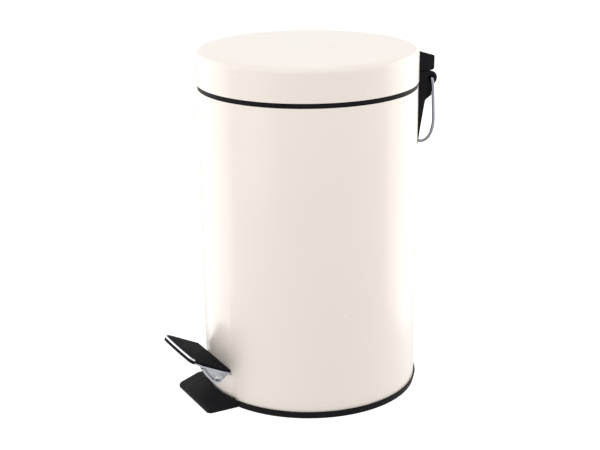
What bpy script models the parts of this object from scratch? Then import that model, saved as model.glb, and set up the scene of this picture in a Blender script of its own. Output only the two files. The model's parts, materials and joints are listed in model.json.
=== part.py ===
"""Round pedal bin of the 3-litre class: steel shell and lid, pedal, lever, lift rod and bucket.

Frame: +Z up, the floor at Z = 0, the pedal towards -Y, the hinge towards +Y.
The body's axis stands at Y = AXIS_Y, so that the whole bin is centred on the origin.
Every shape below is drawn about the body's axis and hangs on an empty there or on a joint.
"""
import math

import bmesh
import bpy
from mathutils import Matrix, Vector

MM = 0.001
SEGMENTS = 64
GAP = 0.3 * MM

# Shell
BODY_RADIUS = 83.8 * MM
SHEET = 0.8 * MM
BODY_INNER = BODY_RADIUS - SHEET
BODY_BOTTOM = 2.3 * MM
BODY_TOP = 238.3 * MM
LID_RADIUS = 84.3 * MM
LID_BOTTOM = 242.0 * MM
LID_TOP = 267.0 * MM
LID_CORNER = 4.5 * MM
RING_RADIUS = 83.4 * MM
RING_TOP = 241.7 * MM
RING_WALL = 2.0 * MM
SEAT_TOP = 226.0 * MM
SEAT_SHEET = 2.2 * MM
SEAT_INNER = 72.5 * MM

# Base: a channel for the body's edge, and a steel pan above it
BASE_RADIUS = 85.2 * MM
BASE_TOP = 5.6 * MM
BASE_FOOT_RADIUS = 83.9 * MM
BASE_INNER = 76.0 * MM
BASE_FLOOR = 2.0 * MM
BASE_LIP_WALL = 1.4 * MM
PAN_TOP = 8.1 * MM
PAN_EDGE_TOP = 9.6 * MM

# Foot under the pedal
FOOT_REACH = 104.0 * MM
FOOT_INNER = 86.0 * MM
FOOT_HALF_WIDTH = 29.5 * MM
FOOT_HEIGHT = 8.0 * MM
FOOT_LIP = 1.8 * MM
FOOT_CORNER = 4.0 * MM

# Pedal
PEDAL_SLOPE = math.radians(25.9)
TREAD_LENGTH = 34.0 * MM
TREAD_HALF_WIDTH = 30.5 * MM
TREAD_CORNER = 8.5 * MM
TREAD_BOW = 0.6 * MM
TREAD_THICKNESS = 2.0 * MM
TREAD_LIP = 3.6 * MM
TREAD_LIP_WALL = 0.9 * MM
TRIM_WIDTH = 1.2 * MM
TREAD_INNER_EDGE = (84.6 * MM, 32.55 * MM)
SLOT_HALF_WIDTH = 24.0 * MM
SLOT_BOTTOM = 9.8 * MM
SLOT_TOP = 31.8 * MM
LEVER_HALF_WIDTH = 22.6 * MM
LEVER_SHEET = 1.2 * MM
LEVER_RIM = 2.0 * MM
TRAY_HALF_WIDTH = 30.7 * MM
TRAY_START = 3.8 * MM
TRAY_INSET = 1.3 * MM
TAIL_HALF_WIDTH = 7.0 * MM
TAIL_SHEET = 1.4 * MM
TAIL_RIB = 1.2 * MM
TAIL_TOP = 14.1 * MM
TAIL_END = 80.7 * MM
PEDAL_PIVOT = (-45.0 * MM, 17.0 * MM)
PIVOT_PIN_RADIUS = 2.0 * MM
EAR_INNER = LEVER_HALF_WIDTH + 0.6 * MM
EAR_SHEET = 1.5 * MM
EAR_RADIUS = 8.0 * MM
RIVETS = {"left": -13.0 * MM, "right": 13.0 * MM}
RIVET_HOLE = 1.9 * MM

# Hinge and lift rod
HINGE = (96.1 * MM, 237.6 * MM)
HINGE_PIN_RADIUS = 1.7 * MM
HINGE_BORE = 2.0 * MM
BORE_MOUTH = (3.2 * MM, 0.9 * MM)
KNUCKLE_RADIUS = 5.6 * MM
HOUSING_HALF_WIDTH = 24.0 * MM
HOUSING_BOTTOM = 186.0 * MM
LID_SWING_RADIUS = math.hypot(HINGE[0] - LID_RADIUS, LID_BOTTOM - HINGE[1]) - 0.4 * MM
CAP_BOTTOM = HINGE[1] + KNUCKLE_RADIUS + 0.7 * MM
ARM_SLOT_HALF_WIDTH = 7.5 * MM
ARM_NOTCH_BOTTOM = 220.5 * MM
ARM_REST = math.radians(39.0)
ROD_Y = 78.8 * MM
ROD_RADIUS = 1.25 * MM
ARM_REACH = (HINGE[0] - ROD_Y) / math.cos(ARM_REST)
ARM_HALF_WIDTH = 4.3 * MM
ROD_HOOK_Z = HINGE[1] - ARM_REACH * math.sin(ARM_REST)
SCREW_Z = 214.0 * MM
SCREWS = {"left": -14.0 * MM, "right": 14.0 * MM}
LID_RIVET_Z = 249.4 * MM
LID_RIVETS = {"left": -9.0 * MM, "right": 9.0 * MM}
HOLE_RADIUS = 1.8 * MM

# Carry ring
WIRE_RADIUS = 1.2 * MM
WIRE_HALF_WIDTH = 25.6 * MM
WIRE_LEAN = 0.05
WIRE_OFFSET = 0.5 * MM
WIRE_BOTTOM = 182.5 * MM

# Bucket
BUCKET_TOP = 227.9 * MM
BUCKET_BOTTOM = 48.0 * MM
BUCKET_RADIUS = 71.0 * MM
BUCKET_FOOT_RADIUS = 63.5 * MM
BUCKET_WALL = 1.4 * MM
BUCKET_RIM = 79.6 * MM
BAIL_RADIUS = 66.0 * MM
BAIL_Z = 219.0 * MM
BAIL_WIRE_RADIUS = 1.3 * MM
BAIL_HOLE = 1.9 * MM

# The pedal's tip and the hinge knuckle reach furthest forwards and back
FRONT_REACH = (TREAD_INNER_EDGE[0] + TREAD_LENGTH * math.cos(PEDAL_SLOPE)
               + TREAD_LIP * math.sin(PEDAL_SLOPE))
REAR_REACH = HINGE[0] + KNUCKLE_RADIUS
AXIS_Y = (FRONT_REACH - REAR_REACH) / 2

PAINT = (0.80, 0.74, 0.68)
BLACK = (0.030, 0.031, 0.034)
STEEL = (0.62, 0.63, 0.64)


def clear_scene():
    """Remove every object of the open scene."""
    for old in list(bpy.data.objects):
        bpy.data.objects.remove(old, do_unlink=True)


def make_collection(name):
    """Add a collection to the scene."""
    collection = bpy.data.collections.new(name)
    bpy.context.scene.collection.children.link(collection)
    return collection


clear_scene()
PARTS = make_collection("pedal_bin")
CUTTERS = make_collection("cutters")


def make_empty(name, location, parent=None):
    """Add an empty that pieces hang on."""
    empty = bpy.data.objects.new(name, None)
    empty.empty_display_size = 0.02
    empty.location = location
    empty.parent = parent
    PARTS.objects.link(empty)
    return empty


BIN = make_empty("bin_axis", (0, AXIS_Y, 0))
LID = make_empty("lid_joint", (0, *HINGE), BIN)
PEDAL = make_empty("pedal_joint", (0, *PEDAL_PIVOT), BIN)
ROD = make_empty("rod_joint", (0, ROD_Y, TAIL_TOP), BIN)
WIRE = make_empty("wire_joint", (0, *HINGE), BIN)
BUCKET = make_empty("bucket_joint", (0, 0, SEAT_TOP), BIN)
BAIL = make_empty("bail_joint", (0, 0, BAIL_Z), BIN)


def make_material(name, color, roughness, metallic):
    """One Principled material for one piece."""
    material = bpy.data.materials.new(name)
    material.use_nodes = True
    shader = material.node_tree.nodes["Principled BSDF"]
    shader.inputs["Base Color"].default_value = (*color, 1)
    shader.inputs["Roughness"].default_value = roughness
    shader.inputs["Metallic"].default_value = metallic
    return material


FINISHES = {
    "paint": (PAINT, 0.25, 0.0),
    "plastic": (BLACK, 0.45, 0.0),
    "rubber": (BLACK, 0.70, 0.0),
    "steel": (STEEL, 0.30, 1.0),
    "chrome": ((0.75, 0.76, 0.78), 0.10, 1.0),
    "nylon": ((0.78, 0.77, 0.73), 0.50, 0.0),
    "grey_plastic": ((0.20, 0.205, 0.21), 0.50, 0.0),
}


def smooth(mesh):
    """Smooth shading with sharp edges kept."""
    mesh.shade_smooth()
    mesh.set_sharp_from_angle(angle=math.radians(35))


def finish(part, joint, look):
    """Hang a piece on its joint's empty and give it its material."""
    part.parent = joint
    part.location = (0, 0, 0) if joint is BIN else tuple(-c for c in joint.location)
    color, roughness, metallic = FINISHES[look]
    part.data.materials.clear()
    part.data.materials.append(make_material(part.name, color, roughness, metallic))
    smooth(part.data)
    return part


def add_object(name, mesh, cutter=False):
    """Put a mesh in the scene, as a part or as a cutter."""
    part = bpy.data.objects.new(name, mesh)
    if cutter:
        CUTTERS.objects.link(part)
        part.hide_render = True
        part.display_type = 'WIRE'
        part.parent = BIN
    else:
        PARTS.objects.link(part)
    return part


def mesh_from(name, bm):
    """Turn a bmesh into a mesh with outward faces."""
    bmesh.ops.recalc_face_normals(bm, faces=bm.faces)
    mesh = bpy.data.meshes.new(name)
    bm.to_mesh(mesh)
    bm.free()
    return mesh


def box(name, low, high, cutter=False, bevel=0.0):
    """A box between two corners, with its edges rounded when bevel is given."""
    bm = bmesh.new()
    bmesh.ops.create_cube(bm, size=1)
    size = [b - a for a, b in zip(low, high)]
    centre = [(a + b) / 2 for a, b in zip(low, high)]
    bmesh.ops.scale(bm, vec=size, verts=bm.verts)
    bmesh.ops.translate(bm, vec=centre, verts=bm.verts)
    if bevel:
        bmesh.ops.bevel(bm, geom=bm.edges[:], offset=bevel, segments=1, affect='EDGES')
    return add_object(name, mesh_from(name, bm), cutter)


TURN = {
    "X": Matrix.Rotation(math.radians(90), 4, 'Y'),
    "Y": Matrix.Rotation(math.radians(-90), 4, 'X'),
    "Z": Matrix.Identity(4),
}


def cylinder(name, axis, radius, low, high, centre, cutter=False, sides=24):
    """A cylinder along X, Y or Z between two coordinates; centre gives the other two."""
    bm = bmesh.new()
    bmesh.ops.create_cone(bm, cap_ends=True, segments=sides, radius1=radius, radius2=radius,
                          depth=high - low)
    bm.transform(Matrix.Rotation(math.pi / sides, 4, 'Z'))
    bm.transform(TURN[axis])
    middle = (low + high) / 2
    place = {"X": (middle, *centre), "Y": (centre[0], middle, centre[1]), "Z": (*centre, middle)}
    bmesh.ops.translate(bm, vec=place[axis], verts=bm.verts)
    return add_object(name, mesh_from(name, bm), cutter)


def turned(name, profile, closed, axis="Z", cutter=False, steps=SEGMENTS):
    """A profile of (radius, height) points, turned about an axis; its outer side runs down."""
    mesh = bpy.data.meshes.new(name)
    count = len(profile)
    edges = [(i, i + 1) for i in range(count - 1)]
    if closed:
        edges.append((count - 1, 0))
    mesh.from_pydata([(r, 0, z) for r, z in profile], edges, [])
    part = add_object(name, mesh, cutter)
    screw = part.modifiers.new("turn", 'SCREW')
    screw.steps = steps
    screw.render_steps = steps
    screw.use_merge_vertices = True
    screw.merge_threshold = 0.00001
    if axis == "Z":
        return part
    part.matrix_world = TURN[axis]
    return bake(part)


def bake(part):
    """Replace an object by its evaluated mesh, welded and moved into place."""
    bpy.context.view_layer.update()
    evaluated = part.evaluated_get(bpy.context.evaluated_depsgraph_get())
    mesh = bpy.data.meshes.new_from_object(evaluated)
    bm = bmesh.new()
    bm.from_mesh(mesh)
    bm.transform(part.matrix_world)
    bmesh.ops.remove_doubles(bm, verts=bm.verts, dist=0.000002)
    bmesh.ops.recalc_face_normals(bm, faces=bm.faces)
    bm.to_mesh(mesh)
    bm.free()
    name = part.name
    is_cutter = part.name in CUTTERS.objects
    bpy.data.objects.remove(part, do_unlink=True)
    return add_object(name, mesh, is_cutter)


SIDE_ON = Matrix(((0, 0, 1, 0), (1, 0, 0, 0), (0, 1, 0, 0), (0, 0, 0, 1)))


def plate(name, outline, low, high, flat=False, cutter=False):
    """An outline extruded between two coordinates: (y, z) along X, or (x, y) along Z when flat."""
    curve = bpy.data.curves.new(name, 'CURVE')
    curve.dimensions = '2D'
    curve.fill_mode = 'BOTH'
    curve.extrude = (high - low) / 2
    spline = curve.splines.new('POLY')
    spline.points.add(len(outline) - 1)
    for point, (u, v) in zip(spline.points, outline):
        point.co = (u, v, 0, 1)
    spline.use_cyclic_u = True
    part = bpy.data.objects.new(name, curve)
    (CUTTERS if cutter else PARTS).objects.link(part)
    middle = (low + high) / 2
    part.matrix_world = (Matrix.Translation((0, 0, middle)) if flat
                         else Matrix.Translation((middle, 0, 0)) @ SIDE_ON)
    return bake(part)


def wire(name, points, radius):
    """A round wire through points, with closed ends."""
    curve = bpy.data.curves.new(name, 'CURVE')
    curve.dimensions = '3D'
    curve.bevel_depth = radius
    curve.bevel_resolution = 2
    curve.use_fill_caps = True
    spline = curve.splines.new('POLY')
    spline.points.add(len(points) - 1)
    for point, co in zip(spline.points, points):
        point.co = (*co, 1)
    part = bpy.data.objects.new(name, curve)
    PARTS.objects.link(part)
    return bake(part)


def combine(part, other, operation):
    """Cut a piece with another, or join another to it."""
    if other.name in PARTS.objects:
        PARTS.objects.unlink(other)
        CUTTERS.objects.link(other)
        other.hide_render = True
        other.display_type = 'WIRE'
        other.parent = BIN
    modifier = part.modifiers.new(operation.lower(), 'BOOLEAN')
    modifier.operation = operation
    modifier.solver = 'EXACT'
    modifier.object = other


def cut(part, *cutters):
    """Take cutters away from a piece."""
    part.parent = BIN
    for cutter in cutters:
        combine(part, cutter, 'DIFFERENCE')


def join(part, *others):
    """Make a piece and others one body."""
    part.parent = BIN
    for other in others:
        combine(part, other, 'UNION')


def settle(part):
    """Apply a piece's Booleans in the bin's own frame."""
    part.parent = BIN
    bpy.context.view_layer.update()
    evaluated = part.evaluated_get(bpy.context.evaluated_depsgraph_get())
    mesh = bpy.data.meshes.new_from_object(evaluated)
    part.modifiers.clear()
    part.data = mesh
    return part


def arc(centre, radius, start, end, count):
    """Points on an arc in degrees, both ends included."""
    steps = [math.radians(start + (end - start) * i / count) for i in range(count + 1)]
    return [(centre[0] + radius * math.cos(a), centre[1] + radius * math.sin(a)) for a in steps]


def strip(path, thickness):
    """The outline of a sheet of even thickness that follows a path."""
    left, right = [], []
    for i, point in enumerate(path):
        before = Vector(path[max(i - 1, 0)])
        after = Vector(path[min(i + 1, len(path) - 1)])
        along = (after - before).normalized()
        normal = Vector((-along.y, along.x)) * thickness / 2
        left.append(tuple(Vector(point) + normal))
        right.append(tuple(Vector(point) - normal))
    return left + right[::-1]


def on_pedal(along, above):
    """A (y, z) point from the tread's own slope: outwards along it, and above its surface."""
    radius = TREAD_INNER_EDGE[0] + along * math.cos(PEDAL_SLOPE) - above * math.sin(PEDAL_SLOPE)
    height = TREAD_INNER_EDGE[1] + along * math.sin(PEDAL_SLOPE) + above * math.cos(PEDAL_SLOPE)
    return (-radius, height)


def wall_cutter(name, radius, low=-0.01, high=0.3):
    """A drum about the body's axis, with the same facets as the turned shells."""
    return turned(name, [(0, high), (radius, high), (radius, low), (0, low)], False, cutter=True)


# ---------------------------------------------------------------- shell

def make_body_shell():
    """The steel tube, with the pedal slot, the arm notch and two screw holes."""
    body = turned("body_shell", [(BODY_INNER, BODY_TOP), (BODY_RADIUS, BODY_TOP),
                                 (BODY_RADIUS, BODY_BOTTOM), (BODY_INNER, BODY_BOTTOM)], True)
    slot = box("pedal_slot", (-SLOT_HALF_WIDTH, -0.1, SLOT_BOTTOM),
               (SLOT_HALF_WIDTH, -0.06, SLOT_TOP), cutter=True, bevel=4 * MM)
    notch = box("body_arm_notch", (-ARM_SLOT_HALF_WIDTH, 0.07, ARM_NOTCH_BOTTOM),
                (ARM_SLOT_HALF_WIDTH, 0.1, 0.25), cutter=True)
    holes = [cylinder(f"body_screw_hole_{side}", "Y", HOLE_RADIUS, 0.07, 0.1,
                      (x, SCREW_Z), cutter=True, sides=16) for side, x in SCREWS.items()]
    cut(body, slot, notch, *holes)
    return finish(settle(body), BIN, "paint")


def make_top_ring():
    """The plastic ring on the body's edge, with the bucket's seat inside."""
    skirt = BODY_INNER - GAP - 0.1 * MM
    wall = skirt - RING_WALL
    under = SEAT_TOP - SEAT_SHEET
    ring = turned("top_ring", [
        (wall, RING_TOP), (RING_RADIUS, RING_TOP), (RING_RADIUS, BODY_TOP + GAP),
        (skirt, BODY_TOP + GAP), (skirt, under), (SEAT_INNER, under), (SEAT_INNER, SEAT_TOP),
        (wall, SEAT_TOP)], True)
    notch = box("ring_arm_notch", (-ARM_SLOT_HALF_WIDTH, 0.070, 0.2),
                (ARM_SLOT_HALF_WIDTH, 0.1, 0.25), cutter=True)
    cut(ring, notch)
    return finish(settle(ring), BIN, "plastic")


def make_base_ring():
    """The plastic ring under the body: a channel for its edge, and the foot in front."""
    rim = BODY_RADIUS + GAP
    lip = BODY_INNER - GAP
    lip_top = PAN_TOP - SHEET - GAP
    ring = turned("base_ring", [
        (rim, BASE_TOP), (BASE_RADIUS, BASE_TOP), (BASE_FOOT_RADIUS, 0), (BASE_INNER, 0),
        (BASE_INNER, BASE_FLOOR), (lip - BASE_LIP_WALL, BASE_FLOOR),
        (lip - BASE_LIP_WALL, lip_top), (lip, lip_top), (lip, BASE_FLOOR), (rim, BASE_FLOOR)],
        True)
    w, r, far = FOOT_HALF_WIDTH, FOOT_CORNER, -FOOT_REACH
    inside = -BASE_INNER - 1.5 * MM
    outline = ([(-w, inside)] + arc((-w + r, far + r), r, 180, 270, 5)
               + arc((w - r, far + r), r, 270, 360, 5) + [(w, inside)])
    foot = plate("foot", outline, 0.0, FOOT_HEIGHT, flat=True)
    slope = plate("foot_slope", [(-FOOT_INNER, FOOT_HEIGHT + 0.01 * MM),
                                 (-FOOT_REACH - 1 * MM, FOOT_LIP - 0.3 * MM),
                                 (-FOOT_REACH - 1 * MM, 0.02), (-FOOT_INNER, 0.02)],
                  -0.04, 0.04, cutter=True)
    channel = wall_cutter("foot_channel", rim, BASE_FLOOR - 0.02 * MM, 0.02)
    ledge = wall_cutter("foot_ledge", FOOT_INNER, BASE_TOP + 0.05 * MM, 0.02)
    cut(foot, slope, channel, ledge)
    join(ring, settle(foot))
    return finish(settle(ring), BIN, "plastic")


def make_bottom_pan():
    """The steel floor inside the body, with a turned-up edge."""
    outer = BODY_INNER - GAP - 0.1 * MM
    pan = turned("bottom_pan", [
        (0, PAN_TOP), (outer - SHEET, PAN_TOP), (outer - SHEET, PAN_EDGE_TOP),
        (outer, PAN_EDGE_TOP), (outer, PAN_TOP - SHEET), (0, PAN_TOP - SHEET)], False)
    holes = [cylinder(f"pan_hole_{side}", "Z", RIVET_HOLE, 0.0, 0.02, (x, PEDAL_PIVOT[0]),
                      cutter=True, sides=16) for side, x in RIVETS.items()]
    cut(pan, *holes)
    return finish(settle(pan), BIN, "steel")


def make_hinge_housing():
    """The housing on the back: flat top, round knuckle and tapering tail."""
    top_angle = 180 - math.degrees(math.asin(KNUCKLE_RADIUS / LID_SWING_RADIUS))
    shoulder = arc(HINGE, LID_SWING_RADIUS, 172, top_angle, 3)
    inside = 80.0 * MM
    side = ([(inside, shoulder[0][1])] + shoulder + arc(HINGE, KNUCKLE_RADIUS, 90, -83, 9)
            + [(96.7 * MM, 224.2 * MM), (91.1 * MM, 220.7 * MM), (89.3 * MM, 211.4 * MM),
               (86.6 * MM, 196.8 * MM), (84.9 * MM, HOUSING_BOTTOM), (inside, HOUSING_BOTTOM)])
    half = HOUSING_HALF_WIDTH
    housing = plate("hinge_housing", side, -half, half)
    knuckle_slot = box("knuckle_slot", (-ARM_SLOT_HALF_WIDTH, 0.078, 231 * MM),
                       (ARM_SLOT_HALF_WIDTH, 0.11, 0.25), cutter=True)
    arm_slot = box("housing_arm_slot", (-ARM_SLOT_HALF_WIDTH + 0.01 * MM, 0.078, ARM_NOTCH_BOTTOM),
                   (ARM_SLOT_HALF_WIDTH - 0.01 * MM, 95.3 * MM, 232 * MM), cutter=True)
    bore = cylinder("housing_bore", "X", HINGE_BORE, -0.03, 0.03, HINGE, cutter=True, sides=16)
    mouth, depth = BORE_MOUTH
    mouths = [cylinder(f"bore_mouth_{s}", "X", mouth, *sorted((s * (half - depth), s * 0.03)), HINGE,
                       cutter=True, sides=20) for s in (-1, 1)]
    holes = [cylinder(f"housing_screw_hole_{s}", "Y", HOLE_RADIUS, 0.07, BODY_RADIUS + 4.5 * MM,
                      (x, SCREW_Z), cutter=True, sides=16) for s, x in SCREWS.items()]
    cut(housing, wall_cutter("housing_wall", BODY_RADIUS + GAP, 0.1), knuckle_slot, arm_slot,
        bore, *mouths, *holes)
    return finish(settle(housing), BIN, "plastic")


def make_housing_screws():
    """Pan-head screws from inside the body into the housing."""
    tip = BODY_RADIUS + 3.9 * MM
    seat = BODY_RADIUS - 2.6 * MM
    for side, x in SCREWS.items():
        screw = turned(f"housing_screw_{side}", [
            (0, tip), (1.0 * MM, tip), (1.45 * MM, tip - 1.0 * MM), (1.45 * MM, seat),
            (3.2 * MM, seat), (3.0 * MM, seat - 1.3 * MM), (1.8 * MM, seat - 1.9 * MM),
            (0, seat - 1.9 * MM)], False, axis="Y", steps=16)
        screw.data.transform(Matrix.Translation((x, 0, SCREW_Z)))
        finish(screw, BIN, "steel")


def make_hinge_pin():
    """The pin that the lid turns on."""
    pin = cylinder("hinge_pin", "X", HINGE_PIN_RADIUS, -20 * MM, 20 * MM, HINGE, sides=16)
    return finish(pin, BIN, "steel")


def make_rod_guide():
    """The block that keeps the lift rod upright."""
    guide = box("rod_guide", (-7 * MM, 75.2 * MM, 124 * MM), (7 * MM, 0.09, 134 * MM), bevel=0.6 * MM)
    hole = cylinder("guide_hole", "Z", ROD_RADIUS + 0.4 * MM, 0.1, 0.15, (0, ROD_Y), cutter=True,
                    sides=16)
    inner = BODY_INNER - GAP
    tube = turned("guide_wall", [(inner, 0.2), (0.12, 0.2), (0.12, 0.1), (inner, 0.1)], True,
                  cutter=True)
    cut(guide, hole, tube)
    return finish(settle(guide), BIN, "nylon")


# ---------------------------------------------------------------- pedal pivot

def make_pivot_bracket():
    """A U of sheet steel on the pan: a base strip and two ears."""
    y, z = PEDAL_PIVOT
    floor = PAN_TOP + GAP
    outer = EAR_INNER + EAR_SHEET
    half = EAR_RADIUS
    bracket = box("pivot_bracket", (-outer, y - half, floor), (outer, y + half, floor + EAR_SHEET))
    near = half - 0.02 * MM
    ear = [(y - near, floor + 0.5 * MM), (y + near, floor + 0.5 * MM), (y + near, z)]
    ear += arc((y, z), near, 0, 180, 8)[1:]
    for side in (-1, 1):
        low, high = sorted((side * EAR_INNER, side * (outer - 0.02 * MM)))
        join(bracket, plate(f"bracket_ear_{side}", ear, low, high))
    settle(bracket)
    bore = cylinder("bracket_bore", "X", PIVOT_PIN_RADIUS + GAP, -0.04, 0.04, PEDAL_PIVOT,
                    cutter=True, sides=16)
    holes = [cylinder(f"bracket_hole_{s}", "Z", RIVET_HOLE, 0.0, 0.02, (x, y), cutter=True, sides=16)
             for s, x in RIVETS.items()]
    cut(bracket, bore, *holes)
    return finish(settle(bracket), BIN, "steel")


def make_bracket_rivets():
    """Rivets through the bracket and the pan, with a head on each side."""
    low = PAN_TOP - SHEET - GAP
    high = PAN_TOP + GAP + EAR_SHEET + GAP
    head = 1.2 * MM
    for side, x in RIVETS.items():
        rivet = turned(f"bracket_rivet_{side}", [
            (0, high + head), (1.8 * MM, high + head), (2.9 * MM, high + 0.3 * MM), (2.9 * MM, high),
            (1.6 * MM, high), (1.6 * MM, low), (2.9 * MM, low), (2.9 * MM, low - 0.3 * MM),
            (1.8 * MM, low - head), (0, low - head)], False, steps=16)
        rivet.location = (x, PEDAL_PIVOT[0], 0)
        rivet = bake(rivet)
        finish(rivet, BIN, "steel")


def make_pivot_pin():
    """The lever's pin with a head at its right end, and the ring that holds the other end."""
    outer = EAR_INNER + EAR_SHEET + GAP
    pin = turned("pivot_pin", [
        (0, outer + 1.6 * MM), (3.0 * MM, outer + 1.6 * MM), (3.4 * MM, outer + 1.2 * MM),
        (3.4 * MM, outer), (PIVOT_PIN_RADIUS, outer), (PIVOT_PIN_RADIUS, -outer - 2.2 * MM),
        (0, -outer - 2.2 * MM)], False, axis="X", steps=16)
    pin.data.transform(Matrix.Translation((0, *PEDAL_PIVOT)))
    finish(pin, BIN, "steel")
    clip = turned("pivot_clip", [
        (2.3 * MM, -outer), (4.4 * MM, -outer), (4.4 * MM, -outer - 1.0 * MM),
        (2.3 * MM, -outer - 1.0 * MM)], True, axis="X", steps=16)
    clip.data.transform(Matrix.Translation((0, *PEDAL_PIVOT)))
    finish(clip, BIN, "steel")


# ---------------------------------------------------------------- pedal

def tread_edge(inset, start=45):
    """The tread's bowed outer edge with part of its round corners, set in from its outline."""
    middle = TREAD_HALF_WIDTH - TREAD_CORNER
    side = TREAD_LENGTH - TREAD_BOW - TREAD_CORNER
    radius = TREAD_CORNER - inset
    bow = [(middle * k / 4, TREAD_LENGTH - inset - TREAD_BOW * (k / 4) ** 2)
           for k in range(3, -4, -1)]
    return (arc((middle, side), radius, start, 85, 4) + bow
            + arc((-middle, side), radius, 95, 180 - start, 4))


def edge_band(name, outer, inner, low, high, start=45, cutter=False):
    """A strip that follows the tread's outer edge between two insets."""
    outline = tread_edge(outer, start) + tread_edge(inner, start)[::-1]
    return plate(name, outline, low, high, flat=True, cutter=cutter)


PEDAL_PLACE = (Matrix.Translation((0, -TREAD_INNER_EDGE[0], TREAD_INNER_EDGE[1]))
               @ Matrix.Rotation(math.pi, 4, 'Z') @ Matrix.Rotation(PEDAL_SLOPE, 4, 'X'))


def make_pedal_lever():
    """Folded steel: tray under the tread, two deep flanges to the pin, and the long tail."""
    y, z = PEDAL_PIVOT
    tray_top = -TREAD_THICKNESS - GAP
    sheet_mid = tray_top - LEVER_SHEET / 2
    eye = arc(PEDAL_PIVOT, 6 * MM, 90, -90, 8)
    neck = [(-57.0, 14.5), (-74.0, 20.5), (-83.6, 25.9), (-86.0, 23.9)]
    lower = [(-88.4, 22.2), (-91.0, 21.5), (-94.7, 21.8), (-98.3, 24.1), (-101.8, 28.6),
             (-105.7, 35.2), (-107.3, 39.6)]
    neck = [(a * MM, b * MM) for a, b in neck]
    lower = [(a * MM, b * MM) for a, b in lower]
    upper = [on_pedal(25 * MM, sheet_mid), on_pedal(1 * MM, sheet_mid),
             (-76.0 * MM, 25.6 * MM), (-58.0 * MM, 23.0 * MM)]
    flange = eye + neck + lower + upper
    inner = LEVER_HALF_WIDTH - LEVER_SHEET
    lever = plate("pedal_lever", flange, inner, LEVER_HALF_WIDTH)
    left = plate("lever_left", flange, -LEVER_HALF_WIDTH, -inner)
    rim = [(a + 0.50 * MM, b + 0.66 * MM) for a, b in lower[1:-1]]
    rims = [plate(f"lever_rim_{side}", strip(rim, LEVER_SHEET),
                  *sorted((side * (inner + 0.3 * MM), side * (LEVER_HALF_WIDTH + LEVER_RIM))))
            for side in (-1, 1)]
    w, side = TRAY_HALF_WIDTH, TREAD_LENGTH - TREAD_BOW - TREAD_CORNER
    tray = plate("lever_tray", [(-w, side), (-w, TRAY_START), (w, TRAY_START), (w, side)]
                 + tread_edge(TRAY_INSET, start=20), tray_top - LEVER_SHEET, tray_top, flat=True)
    tray.data.transform(PEDAL_PLACE)
    web_path = [on_pedal(6 * MM, sheet_mid), on_pedal(1 * MM, sheet_mid),
                (-76.0 * MM, 25.3 * MM), (-58.0 * MM, 22.3 * MM), (y + 1 * MM, 21.9 * MM)]
    web = plate("lever_web", strip(web_path, 1.0 * MM), -inner - 0.6 * MM, inner + 0.6 * MM)
    mid_z = TAIL_TOP - TAIL_SHEET / 2
    tail_path = [(y - 8 * MM, 22.0 * MM), (y + 3 * MM, 21.7 * MM), (-22 * MM, mid_z),
                 (TAIL_END, mid_z)]
    tail = plate("lever_tail", strip(tail_path, TAIL_SHEET), -TAIL_HALF_WIDTH, TAIL_HALF_WIDTH)
    rib_end, rib_foot = TAIL_END - 1 * MM, mid_z - 0.2 * MM
    rib = [(y - 4 * MM, 21.6 * MM), (-22 * MM, rib_foot), (rib_end, rib_foot),
           (rib_end, 17.2 * MM), (-18 * MM, 17.6 * MM), (y + 2 * MM, 23.6 * MM)]
    ribs = [plate(f"lever_rib_{side}", rib, *sorted((side * (TAIL_HALF_WIDTH - TAIL_RIB),
                                                     side * (TAIL_HALF_WIDTH - 0.02 * MM))))
            for side in (-1, 1)]
    join(lever, left, tray, *rims, web, tail, *ribs)
    settle(lever)
    bore = cylinder("lever_bore", "X", PIVOT_PIN_RADIUS + GAP, -0.04, 0.04, PEDAL_PIVOT, cutter=True,
                    sides=16)
    hole = cylinder("lever_hole", "X", 1.4 * MM, -0.04, 0.04, (-93.2 * MM, 25.2 * MM), cutter=True,
                    sides=12)
    cut(lever, bore, hole)
    return finish(settle(lever), PEDAL, "steel")


def make_pedal_tread():
    """The black pad on the tray, with a lip below and a step for the trim along its outer edge."""
    w = TREAD_HALF_WIDTH
    outline = [(-w, 0), (w, 0)] + tread_edge(0, start=0)
    pad = plate("pedal_tread", outline, -TREAD_THICKNESS, 0, flat=True)
    lip = edge_band("tread_lip", 0.01 * MM, TREAD_LIP_WALL, -TREAD_LIP, -1.0 * MM)
    step = edge_band("trim_step", -1 * MM, TRIM_WIDTH + GAP, -TRIM_WIDTH - GAP, 1 * MM, start=42,
                     cutter=True)
    join(pad, lip)
    settle(pad)
    cut(pad, step)
    settle(pad)
    pad.data.transform(PEDAL_PLACE)
    finish(pad, PEDAL, "rubber")
    trim = edge_band("tread_trim", 0.0, TRIM_WIDTH, -TRIM_WIDTH, -0.02 * MM)
    trim.data.transform(PEDAL_PLACE)
    return finish(trim, PEDAL, "chrome")


# ---------------------------------------------------------------- lid

def make_lid_shell():
    """A flat-topped steel lid with a rounded edge and a deep skirt."""
    corner = arc((LID_RADIUS - LID_CORNER, LID_TOP - LID_CORNER), LID_CORNER, 90, 0, 5)
    inside = arc((LID_RADIUS - LID_CORNER, LID_TOP - LID_CORNER), LID_CORNER - SHEET, 0, 90, 4)
    profile = ([(0, LID_TOP)] + corner + [(LID_RADIUS, LID_BOTTOM), (LID_RADIUS - SHEET, LID_BOTTOM)]
               + inside + [(0, LID_TOP - SHEET)])
    lid = turned("lid_shell", profile, False)
    cut(lid, *[cylinder(f"lid_hole_{s}", "Y", HOLE_RADIUS, 0.07, 0.1, (x, LID_RIVET_Z), cutter=True,
                        sides=16) for s, x in LID_RIVETS.items()])
    return finish(settle(lid), LID, "paint")


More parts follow.
